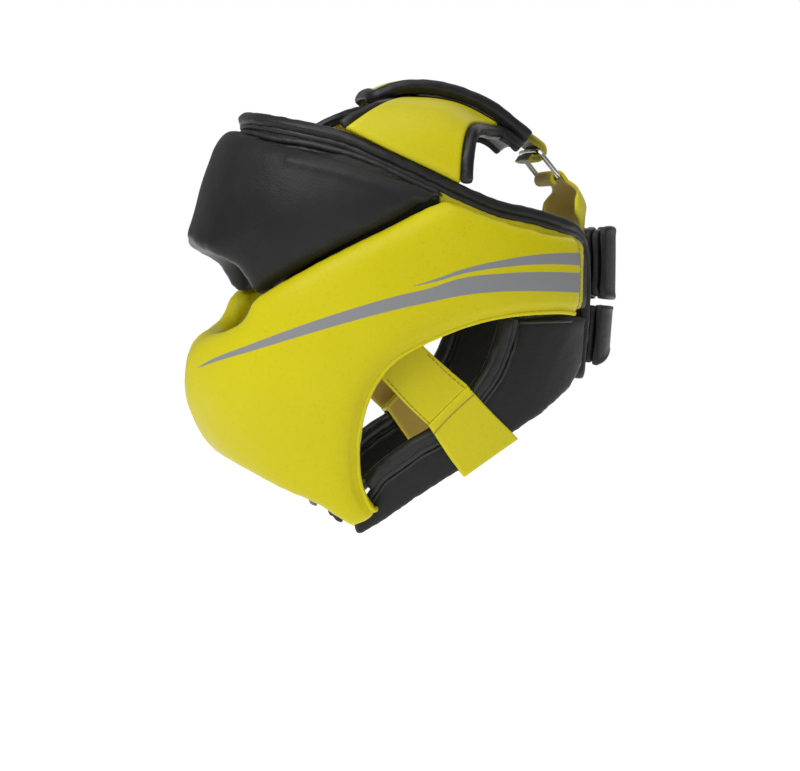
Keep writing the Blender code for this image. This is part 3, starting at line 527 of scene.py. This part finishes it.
def swell(piece, pressure, cap, holds):
    """Blows a pad up a little. holds(point) says how firmly a point is pinned, from 0 to 1."""
    rest = [v.co.copy() for v in piece.data.vertices]
    group = piece.vertex_groups.new(name="held")
    for index, place in enumerate(rest):
        group.add([index], holds(place), "REPLACE")
    cloth = piece.modifiers.new("Cloth", "CLOTH")
    settings = cloth.settings
    settings.quality = 4
    settings.mass = 0.25
    settings.tension_stiffness = 12
    settings.compression_stiffness = 12
    settings.bending_stiffness = 1.5
    settings.use_pressure = True
    settings.uniform_pressure_force = pressure
    settings.vertex_group_mass = "held"
    settings.effector_weights.gravity = 0
    cloth.point_cache.frame_start = 1
    cloth.point_cache.frame_end = CLOTH_FRAMES
    for number in range(1, CLOTH_FRAMES + 1):
        bpy.context.scene.frame_set(number)
    graph = bpy.context.evaluated_depsgraph_get()
    moved = [v.co.copy() for v in piece.evaluated_get(graph).data.vertices]
    piece.modifiers.remove(cloth)
    piece.vertex_groups.clear()
    most = 0.0
    for vertex, before, after in zip(piece.data.vertices, rest, moved):
        push = after - before
        if push.length > cap:
            push = push.normalized() * cap
        vertex.co = before + push
        most = max(most, push.length)
    bpy.context.scene.frame_set(1)
    print(piece.name, "swelled by up to", round(most * 1000, 1), "mm")


def back_is_held(place):
    """Pins what lies on the band: points less than a few millimetres outside its face."""
    turn = math.degrees(math.atan2(abs(place.x), -place.y))
    depth = (place - wall_surface(turn, place.z)).dot(wall_normal(turn, place.z))
    return max(0.0, min(1.0, (BAND_THICK + 0.005 - depth) / 0.003))


# %% [markdown]
# ## The cheek guard and the brow pad
# These two pads are most of what is seen: one yellow pad wraps both cheeks and the chin, and one
# black pad, standing well forward, covers the brow. Both are foam a few centimetres thick.

# %% Make the two large pads
PAD_VOXEL = 0.0040
PAD_ROUNDING = 0.0016


def big_pad(node, relax, pressure, cap):
    """A thick pad from its solid: remeshed, swollen and subdivided once."""
    pad = copy_of(node, node + "_cover")
    solid = face_tree(pad)
    remesh(pad, PAD_VOXEL, relax)
    hold_form(pad, solid, PAD_ROUNDING)
    swell(pad, pressure, cap, back_is_held)
    subdivide(pad, 1)
    return pad


cheek = big_pad("cheek_guard", 14, 4.0, 0.0020)
brow = big_pad("brow_pad", 12, 4.0, 0.0020)
print("pads:", len(cheek.data.polygons), "and", len(brow.data.polygons), "faces")

# %% [markdown]
# ## Lines that run over a pad
# Seams, piping and stitches are drawn as lines of turn and height, dropped onto the pad from
# outside. Each place on the line keeps the direction of the surface there, so that a cord laid on
# it stands up from the leather wherever the pad turns.

# %% Helpers for lines on a surface
LEFT, RIGHT = 1, -1
EDGE_DEPTH = 0.009
SLIP = 0.006


def follow(tree, rows, side=LEFT, steps=10):
    """Places on a surface, each with its outward direction, under a smooth line of turn and up.
    Where the line slips off the edge it is carried to the nearest place."""
    run = []
    for turn, up in smooth_rows(rows, steps):
        out = wall_normal(turn, level(up))
        start = wall_surface(turn, level(up)) + out * 0.09
        place, normal, _, _ = tree.ray_cast(Vector((start.x * side, start.y, start.z)),
                                            Vector((-out.x * side, -out.y, -out.z)), 0.12)
        if place is None:
            edge = wall_point(turn, up, EDGE_DEPTH)
            place, normal, _, _ = tree.find_nearest(Vector((edge.x * side, edge.y, edge.z)), SLIP)
        if place is not None:
            run.append((place, normal))
    return run


def on_wall(rows, depth, side=LEFT, steps=8):
    """Places at one depth outside the wall, under a smooth line of turn and up."""
    run = []
    for turn, up in smooth_rows(rows, steps):
        place, out = wall_point(turn, up, depth), wall_normal(turn, level(up))
        run.append((Vector((place.x * side, place.y, place.z)), Vector((out.x * side, out.y, out.z))))
    return run


def shifted(rows, distance, steps=6):
    """A line of turn and up, moved sideways by a distance in metres, to its left as it runs."""
    flat = [(math.radians(t) * MAP_RADIUS, level(u)) for t, u in smooth_rows(rows, steps)]
    moved = []
    for i, (x, y) in enumerate(flat):
        (ax, ay), (bx, by) = flat[max(i - 1, 0)], flat[min(i + 1, len(flat) - 1)]
        length = math.hypot(bx - ax, by - ay)
        x, y = x - (by - ay) / length * distance, y + (bx - ax) / length * distance
        moved.append((math.degrees(x / MAP_RADIUS), y / (CROWN_RISE if y > 0 else JAW_DROP)))
    return moved


def add_cord(bm, run, radius, lift=0.0, sides=8):
    """A closed tube along a run. Its middle stands off the surface by lift."""
    rings = []
    for i, (place, normal) in enumerate(run):
        along = (run[min(i + 1, len(run) - 1)][0] - run[max(i - 1, 0)][0]).normalized()
        across = along.cross(normal).normalized()
        upright = across.cross(along)
        middle = place + normal * lift
        rings.append([bm.verts.new(middle + (upright * math.cos(a) + across * math.sin(a)) * radius)
                      for a in (2 * math.pi * k / sides for k in range(sides))])
    for low, high in zip(rings, rings[1:]):
        for k in range(sides):
            bm.faces.new((low[k], low[k - 1], high[k - 1], high[k]))
    bm.faces.new(rings[0])
    bm.faces.new(rings[-1][::-1])


def piece_of(bm, name):
    """Turns what a bmesh holds into a piece."""
    bmesh.ops.recalc_face_normals(bm, faces=bm.faces)
    mesh = bpy.data.meshes.new(name)
    bm.to_mesh(mesh)
    bm.free()
    piece = bpy.data.objects.new(name, mesh)
    bpy.context.scene.collection.objects.link(piece)
    return piece


def stitches(bm, run, pitch=0.0034, length=0.0024, radius=0.00032):
    """Short straight lengths of thread along a run, half sunk in the leather."""
    walked, wanted = 0.0, pitch
    for (a, normal), (b, _) in zip(run, run[1:]):
        step = (b - a).length
        while step and walked + step >= wanted:
            middle = a.lerp(b, (wanted - walked) / step)
            half = (b - a).normalized() * length / 2
            stitch = [(middle + half * s, normal) for s in (-1.1, -0.7, 0, 0.7, 1.1)]
            add_cord(bm, stitch, radius, radius * 0.3, 5)
            wanted += pitch
        walked += step


print("line helpers are ready")

# %% [markdown]
# ## Seams of the cheek guard
# The pad's open edges are piped: a thin cord of the same leather lies along each, with a sunken
# line just inside it where the cover is sewn down. The groove is pressed into the cover itself.

# %% Press the seams and pipe the edges of the cheek
CHEEK_EAR = [
    (143.2, -0.268), (136, -0.258), (128, -0.255), (113.7, -0.260), (99.8, -0.280), (83.8, -0.324),
    (68.2, -0.393), (59.7, -0.482), (55.1, -0.586), (53.1, -0.68), (52.8, -0.774), (55, -0.842),
    (58.5, -0.878),
]
CHEEK_REAR = [(144.4, -0.01), (144.8, -0.08), (144.7, -0.176), (144.5, -0.27)]
PIPING_RADIUS = 0.0015
# How far inside the pad's edge the piping and the seam lie
EAR_PIPING_IN = 0.0023
EAR_SEAM_IN = 0.0048
REAR_PIPING_IN = 0.0026
REAR_SEAM_IN = 0.0055

piping = bmesh.new()
thread = bmesh.new()
for side in (LEFT, RIGHT):
    tree = face_tree(cheek)
    groove = follow(tree, shifted(CHEEK_EAR, -EAR_SEAM_IN), side)
    press(cheek, groove, 0.0017, 0.0008)
    rear_groove = follow(tree, shifted(CHEEK_REAR, -REAR_SEAM_IN), side)
    press(cheek, rear_groove, 0.0016, 0.0005)
    tree = face_tree(cheek)
    add_cord(piping, follow(tree, shifted(CHEEK_EAR, -EAR_PIPING_IN), side), PIPING_RADIUS)
    add_cord(piping, follow(tree, shifted(CHEEK_REAR, -REAR_PIPING_IN), side), PIPING_RADIUS * 0.8)
    stitches(thread, follow(tree, shifted(CHEEK_REAR, -REAR_SEAM_IN), side))
dress(cheek, cheek_leather, ["cheek_guard"])
dress(piece_of(piping, "cheek_piping"), yellow_leather)

# %% [markdown]
# ## The shoulder of the brow pad
# Along each temple the brow pad has a long ridge, with a valley above it where the cover is drawn
# in to the band. Both are pressed into the cover along lines that fall towards the ear.

# %% Press the brow pad's ridge and valley
BROW_RIDGE = [(34, 0.56), (46.4, 0.475), (56.5, 0.40), (67.6, 0.325), (79, 0.25)]
VALLEY_ABOVE = 0.0075
SHOULDER_WIDTH = 0.0030
RIDGE_HEIGHT = 0.0010
VALLEY_DEPTH = 0.0014

for side in (LEFT, RIGHT):
    tree = face_tree(brow)
    ridge = follow(tree, BROW_RIDGE, side)
    valley = follow(tree, shifted(BROW_RIDGE, VALLEY_ABOVE), side)
    press(brow, ridge, SHOULDER_WIDTH, -RIDGE_HEIGHT)
    press(brow, valley, SHOULDER_WIDTH, VALLEY_DEPTH)
dress(brow, black_leather, ["brow_pad"])

# %% [markdown]
# ## The band and the jaw straps
# They are even layers of foam and leather about nine millimetres thick. A finer remesh keeps their
# edges from growing too round. Where a jaw strap meets its rolled edge, a cord fills the join, so
# that no light passes between the two.

# %% Make the even layers
STRAP_VOXEL = 0.0030
STRAP_ROUNDING = 0.0007
# The band shows yellow between these turns
YELLOW_FROM = 86
YELLOW_TO = 150


def even_layer(node):
    """An even layer from its solid, with its edges rounded."""
    layer = copy_of(node, node + "_cover")
    solid = face_tree(layer)
    remesh(layer, STRAP_VOXEL, 6)
    hold_form(layer, solid, STRAP_ROUNDING)
    subdivide(layer, 1)
    return layer


band = even_layer("head_band")
places, normals = points_of(band)
turns = np.degrees(np.arctan2(np.abs(places[:, 0]), -places[:, 1]))
facing = (normals[:, :2] * places[:, :2]).sum(1)
store(band, "tint", np.where((turns > YELLOW_FROM) & (turns < YELLOW_TO) & (facing > 0), 1.0, 0.0))
dress(band, band_leather, ["head_band"])

JAW_EAR = [
    (112.0, -0.264), (110.9, -0.32), (107.2, -0.408), (102.6, -0.465), (94, -0.545), (85, -0.607),
    (74.6, -0.647), (65.5, -0.692), (56.5, -0.738), (51, -0.786), (47, -0.825),
]
JAW_SHOULDER = [(117, -0.281), (128, -0.279), (144, -0.279)]
# How far inside the strap's edge the filler, the seam and the thin piping lie
JAW_FILLER_IN = 0.0098
JAW_SEAM_IN = 0.0112
JAW_PIPING_IN = 0.0128
JAW_FILLER_RADIUS = 0.0028
JAW_FILLER_DEPTH = BAND_THICK * 0.60
jaw_cord = bmesh.new()
for side, label in ((LEFT, "left"), (RIGHT, "right")):
    jaw = even_layer("jaw_strap_" + label)
    run = follow(face_tree(jaw), shifted(JAW_EAR, JAW_SEAM_IN), side)
    press(jaw, run, 0.0020, 0.0008)
    tree = face_tree(jaw)
    add_cord(jaw_cord, follow(tree, shifted(JAW_EAR, JAW_PIPING_IN), side), 0.0009)
    add_cord(jaw_cord, follow(tree, JAW_SHOULDER, side), 0.0012)
    filler = on_wall(shifted(JAW_EAR, JAW_FILLER_IN), JAW_FILLER_DEPTH, side)
    add_cord(jaw_cord, filler, JAW_FILLER_RADIUS, 0.0, 10)
    dress(jaw, black_leather, ["jaw_strap_" + label])
dress(piece_of(jaw_cord, "jaw_piping"), edging_leather)

# %% [markdown]
# ## Rolled edges
# Each rolled edge is a strip of leather turned round a cord and sewn down, so it pulls into small
# wrinkles. The tube is smoothed first, and then its points are pushed in and out by a noise about
# as fine as those wrinkles.

# %% Make the edgings
WRINKLE = 0.00045
WRINKLE_SIZE = 0.006
ROLL_SWELL = 0.0009


def wrinkle(piece, amount, size):
    """Moves points along their normals by a noise of the given size."""
    for vertex in piece.data.vertices:
        vertex.co += vertex.normal * (noise(vertex.co / size) * amount)


for node in (
    "band_binding", "jaw_roll_left", "jaw_roll_right", "crown_front_binding",
    "window_binding_left", "window_binding_right", "flap_binding",
):
    roll = copy_of(node, node + "_roll")
    subdivide(roll, 2, 0.4)
    places, normals = points_of(roll)
    put_points(roll, places + normals * ROLL_SWELL)
    wrinkle(roll, WRINKLE, WRINKLE_SIZE)
    dress(roll, edging_leather, [node])

# %% [markdown]
# ## The gathered collar
# Under the band's rolled edge the leather is gathered into two narrow ribs, which run from the
# brow to the ear. They are cords laid on the band, one below the other. A third fills the join
# between the band and its rolled edge, so that no light passes between the two.

# %% Lay the ribs
COLLAR_LINE = [
    (14, 0.775), (26.6, 0.715), (34.6, 0.685), (47.3, 0.612), (61, 0.505), (74.7, 0.382), (84, 0.305),
]
BAND_TOP = [
    (0, 0.845), (15, 0.82), (30, 0.76), (42.7, 0.695), (50.5, 0.64), (59, 0.56), (69, 0.475),
    (81.3, 0.375), (92, 0.285), (98.4, 0.235), (111, 0.15), (124, 0.105), (137, 0.045), (147, 0.005),
    (152, -0.022),
]
RIB_RADIUS = 0.0021
RIB_SPACING = 0.0036
TOP_FILLER_RADIUS = 0.0027
TOP_FILLER_DEPTH = BAND_THICK * 0.58
band_tree = face_tree(band)
ribs = bmesh.new()
for side in (LEFT, RIGHT):
    add_cord(ribs, follow(band_tree, COLLAR_LINE, side), RIB_RADIUS, 0.0004, 10)
    lower = follow(band_tree, shifted(COLLAR_LINE, -RIB_SPACING), side)
    add_cord(ribs, lower, RIB_RADIUS * 0.8, 0.0002, 10)
for side in (LEFT, RIGHT):
    add_cord(ribs, on_wall(BAND_TOP, TOP_FILLER_DEPTH, side), TOP_FILLER_RADIUS, 0.0, 10)
rib_piece = piece_of(ribs, "collar_ribs")
wrinkle(rib_piece, 0.0005, 0.005)
dress(rib_piece, edging_leather)

# %% [markdown]
# ## The crown
# Two yellow panels rise from the band to a strap along the crown. Their own solids have the right
# curve, so they are smoothed. The strap under the flap carries the pale loop tape. The chin strap,
# the rear panel, the hangers and their sleeves are flat leather too and are made in the same way.

# %% Make the panels, the flat straps and the tape
PANEL_SWELL = 0.0004
# The flap is black behind this place, where it turns round the ring, and on its underside
FLAP_LOOP_FROM = 0.052

for node in ("crown_panel_left", "crown_panel_right"):
    panel = copy_of(node, node + "_cover")
    subdivide(panel, 2, 0.5)
    places, normals = points_of(panel)
    put_points(panel, places + normals * PANEL_SWELL)
    mark_lining(panel)
    dress(panel, lined_leather, [node])

for node, material, slot in (
    ("crown_strap", black_leather, "black_leather"),
    ("crown_tape", loop_tape, "grey_tape"),
    ("crown_flap", flap_leather, "yellow_leather"),
    ("chin_strap", black_leather, "black_leather"),
    ("rear_panel", lined_leather, "yellow_leather"),
    ("hanger_left", lined_leather, "yellow_leather"),
    ("hanger_right", lined_leather, "yellow_leather"),
    ("sleeve_left", lined_leather, "yellow_leather"),
    ("sleeve_right", lined_leather, "yellow_leather"),
):
    strap = copy_of(node, node + "_cover")
    subdivide(strap, 2, 0.8)
    if material is lined_leather:
        mark_lining(strap)
    if material is flap_leather:
        places, normals = points_of(strap)
        black = (places[:, 1] > FLAP_LOOP_FROM) | (normals[:, 2] < 0.2)
        store(strap, "tint", black.astype(float))
    dress(strap, material, [node])

# %% [markdown]
# ## Stitches on the hangers
# Each hanger is sewn down both sides. Where it turns round the jaw strap, its end is caught by a
# curved seam, which shows as a thin line, and the leather is folded over in a low roll.

# %% Sew the hangers and sleeves
HANGER_FRONT = [(62.6, -0.452), (71.8, -0.534), (80.6, -0.598)]
HANGER_REAR = [(79.0, -0.372), (87.2, -0.432), (96.0, -0.486)]
SLEEVE_SEAM = [(82.2, -0.634), (86.0, -0.603), (91.5, -0.563), (100.1, -0.506)]
HANGER_FOLD = [(80.5, -0.608), (89.2, -0.546), (97.9, -0.484)]
SEAM_RADIUS = 0.0004
FOLD_RADIUS = 0.0014
FOLD_DEPTH = BAND_THICK + 0.0016
seams = bmesh.new()
folds = bmesh.new()
for side, label in ((LEFT, "left"), (RIGHT, "right")):
    hanger = face_tree(bpy.data.objects["hanger_%s_cover" % label])
    for line in (HANGER_FRONT, HANGER_REAR):
        stitches(thread, follow(hanger, line, side))
    sleeve = face_tree(bpy.data.objects["sleeve_%s_cover" % label])
    add_cord(seams, follow(sleeve, SLEEVE_SEAM, side), SEAM_RADIUS)
    add_cord(folds, on_wall(HANGER_FOLD, FOLD_DEPTH, side), FOLD_RADIUS, 0.0, 10)
dress(piece_of(folds, "hanger_folds"), yellow_leather)
dress(piece_of(thread, "yellow_stitches"), gold_thread)
dress(piece_of(seams, "sleeve_seams"), gold_thread)

# %% [markdown]
# ## The rear straps
# Two wide straps close the headgear behind. Each is built up of flat layers with a bound edge, so
# they are made again from the rows of their solids: one layer outside the other, each a ribbon
# that is thicker along both edges and follows the back of the head.

# %% Lay the rear straps
REAR_UPPER = [
    # turn, top, low, inner depth, thickness
    (161.9, 0.040, -0.205, 0.0034, 0.0100),
    (168, 0.070, -0.214, 0.0042, 0.0155),
    (175, 0.060, -0.217, 0.0052, 0.0190),
    (180, 0.040, -0.217, 0.0054, 0.0200),
]
REAR_LOWER = [
    (161.3, -0.222, -0.440, 0.0014, 0.0100),
    (168, -0.231, -0.420, 0.0050, 0.0140),
    (175, -0.232, -0.388, 0.0070, 0.0160),
    (180, -0.232, -0.375, 0.0075, 0.0165),
]
# Across a layer: share of the half width, and of the thickness
BOUND_SECTION = [
    (0.0, 0.80), (0.55, 0.84), (0.80, 0.84), (0.86, 1.0), (0.93, 1.04), (0.985, 0.86), (1.0, 0.4),
]
# How much of its own share of the strap's thickness a layer fills, to each side of its middle
LAYER_FILL = 0.46
# For each layer: where it starts and how far before the far end it stops, in degrees, and its inset
LAYERS = [(0.0, 0.0, 0.0006), (1.2, 1.0, 0.0020), (2.4, 11.0, 0.0004)]


def strap_layer(name, rows, index, count, first_turn, last_turn, inset):
    """One layer of a rear strap. inset is how far its edges stay inside the solid's."""
    whole = smooth_rows(rows + [(360 - r[0], *r[1:]) for r in rows[-2::-1]], 6)
    turns = [row[0] for row in whole]
    columns = [[row[k] for row in whole] for k in range(1, 5)]
    loop = [(-s, t) for s, t in BOUND_SECTION[:0:-1]] + BOUND_SECTION
    loop += [(s, -t) for s, t in loop[::-1]]
    bm = bmesh.new()
    rings = []
    for turn in np.linspace(first_turn, last_turn, 26):
        top, low, depth, thick = (float(np.interp(turn, turns, column)) for column in columns)
        high, base = level(top) - inset, level(low) + inset
        layer = thick / count
        middle = depth + layer * (index + 0.5)
        ring = []
        for share, side in loop:
            height = (high + base) / 2 + (high - base) / 2 * share
            out = middle + side * layer * LAYER_FILL
            ring.append(bm.verts.new(wall_surface(turn, height) + wall_normal(turn, height) * out))
        rings.append(ring)
    for a, b in zip(rings, rings[1:]):
        for k in range(len(a)):
            bm.faces.new((a[k - 1], a[k], b[k], b[k - 1]))
    bm.faces.new(rings[0])
    bm.faces.new(rings[-1][::-1])
    piece = piece_of(bm, name)
    subdivide(piece, 1)
    return piece


for node, rows, first, last in (
    ("rear_strap_upper", REAR_UPPER, 162.0, 198.0),
    ("rear_strap_lower", REAR_LOWER, 161.4, 198.6),
):
    for index, (start, end, inset) in enumerate(LAYERS):
        name = "%s_layer_%d" % (node, index + 1)
        layer = strap_layer(name, rows, index, len(LAYERS), first + start, last - end, inset)
        dress(layer, black_leather, [node])

# %% [markdown]
# ## The ring
# The flap and the rear panel are both looped through one ring of bent wire. Its solid already has
# the right round section, so it only needs smoothing.

# %% Finish the ring
ring = copy_of("strap_ring", "strap_ring_wire")
subdivide(ring, 1)
dress(ring, chrome, ["strap_ring"])

# %% [markdown]
# ## Light and floor
# The headgear is shown in the shape it has when worn. A wide soft sun and three large panels light
# it: one in front, one above, and a weaker one behind. A pale surround keeps the shadows soft.

# %% Build the studio
FLOOR_HEIGHT = -0.40
FLOOR_RADIUS = 6.0
FLOOR_GLOW = 0.42
SUN_STRENGTH = 1.9
SUN_SPREAD = 60
SUN_TILT = (30, 35)
SURROUND_STRENGTH = 0.28
WHITE = (1.0, 1.0, 1.0, 1.0)


def add_panel_light(name, place, aim, size, power):
    """A large soft light that faces a point."""
    light = bpy.data.lights.new(name, "AREA")
    light.size = size
    light.energy = power
    lamp = bpy.data.objects.new(name, light)
    lamp.location = place
    lamp.rotation_euler = (Vector(place) - Vector(aim)).to_track_quat("Z", "Y").to_euler()
    bpy.context.scene.collection.objects.link(lamp)
    return lamp


add_panel_light("key_light", (0.7, -2.1, 1.5), AIM, 0.9, 12)
add_panel_light("top_light", (0.3, 0.2, 1.9), AIM, 1.6, 9)
add_panel_light("far_light", (-1.6, 0.9, 0.9), AIM, 1.4, 4)
sun = bpy.data.objects.new("sky_light", bpy.data.lights.new("sky_light", "SUN"))
sun.data.energy = SUN_STRENGTH
sun.data.angle = math.radians(SUN_SPREAD)
sun.rotation_euler = (math.radians(SUN_TILT[0]), math.radians(SUN_TILT[1]), 0)
bpy.context.scene.collection.objects.link(sun)
bm = bmesh.new()
bmesh.ops.create_circle(bm, cap_ends=True, segments=96, radius=FLOOR_RADIUS)
floor_mesh = bpy.data.meshes.new("floor")
bm.to_mesh(floor_mesh)
bm.free()
floor = bpy.data.objects.new("floor", floor_mesh)
floor.location.z = FLOOR_HEIGHT
bpy.context.scene.collection.objects.link(floor)
pale_floor = plain_finish("pale_floor", (0.90, 0.90, 0.90), (0.88, 0.88, 0.88), 3.0, (0.85, 0.95))
floor.data.materials.append(pale_floor)
floor_shader = pale_floor.node_tree.nodes["Principled BSDF"]
floor_shader.inputs["Emission Color"].default_value = WHITE
floor_shader.inputs["Emission Strength"].default_value = FLOOR_GLOW
world = bpy.data.worlds.new("surround")
world.use_nodes = True
tree = world.node_tree
surround = tree.nodes["Background"]
surround.inputs["Strength"].default_value = SURROUND_STRENGTH
backdrop = add_node(tree, "ShaderNodeBackground", Color=WHITE, Strength=1.0)
surround.inputs["Color"].default_value = WHITE
seen = tree.nodes.new("ShaderNodeLightPath").outputs["Is Camera Ray"]
both = add_node(tree, "ShaderNodeMixShader", Fac=seen)
tree.links.new(surround.outputs[0], both.inputs[1])
tree.links.new(backdrop.outputs[0], both.inputs[2])
tree.links.new(both.outputs[0], tree.nodes["World Output"].inputs["Surface"])
bpy.context.scene.world = world
bpy.context.scene.view_settings.view_transform = "Standard"
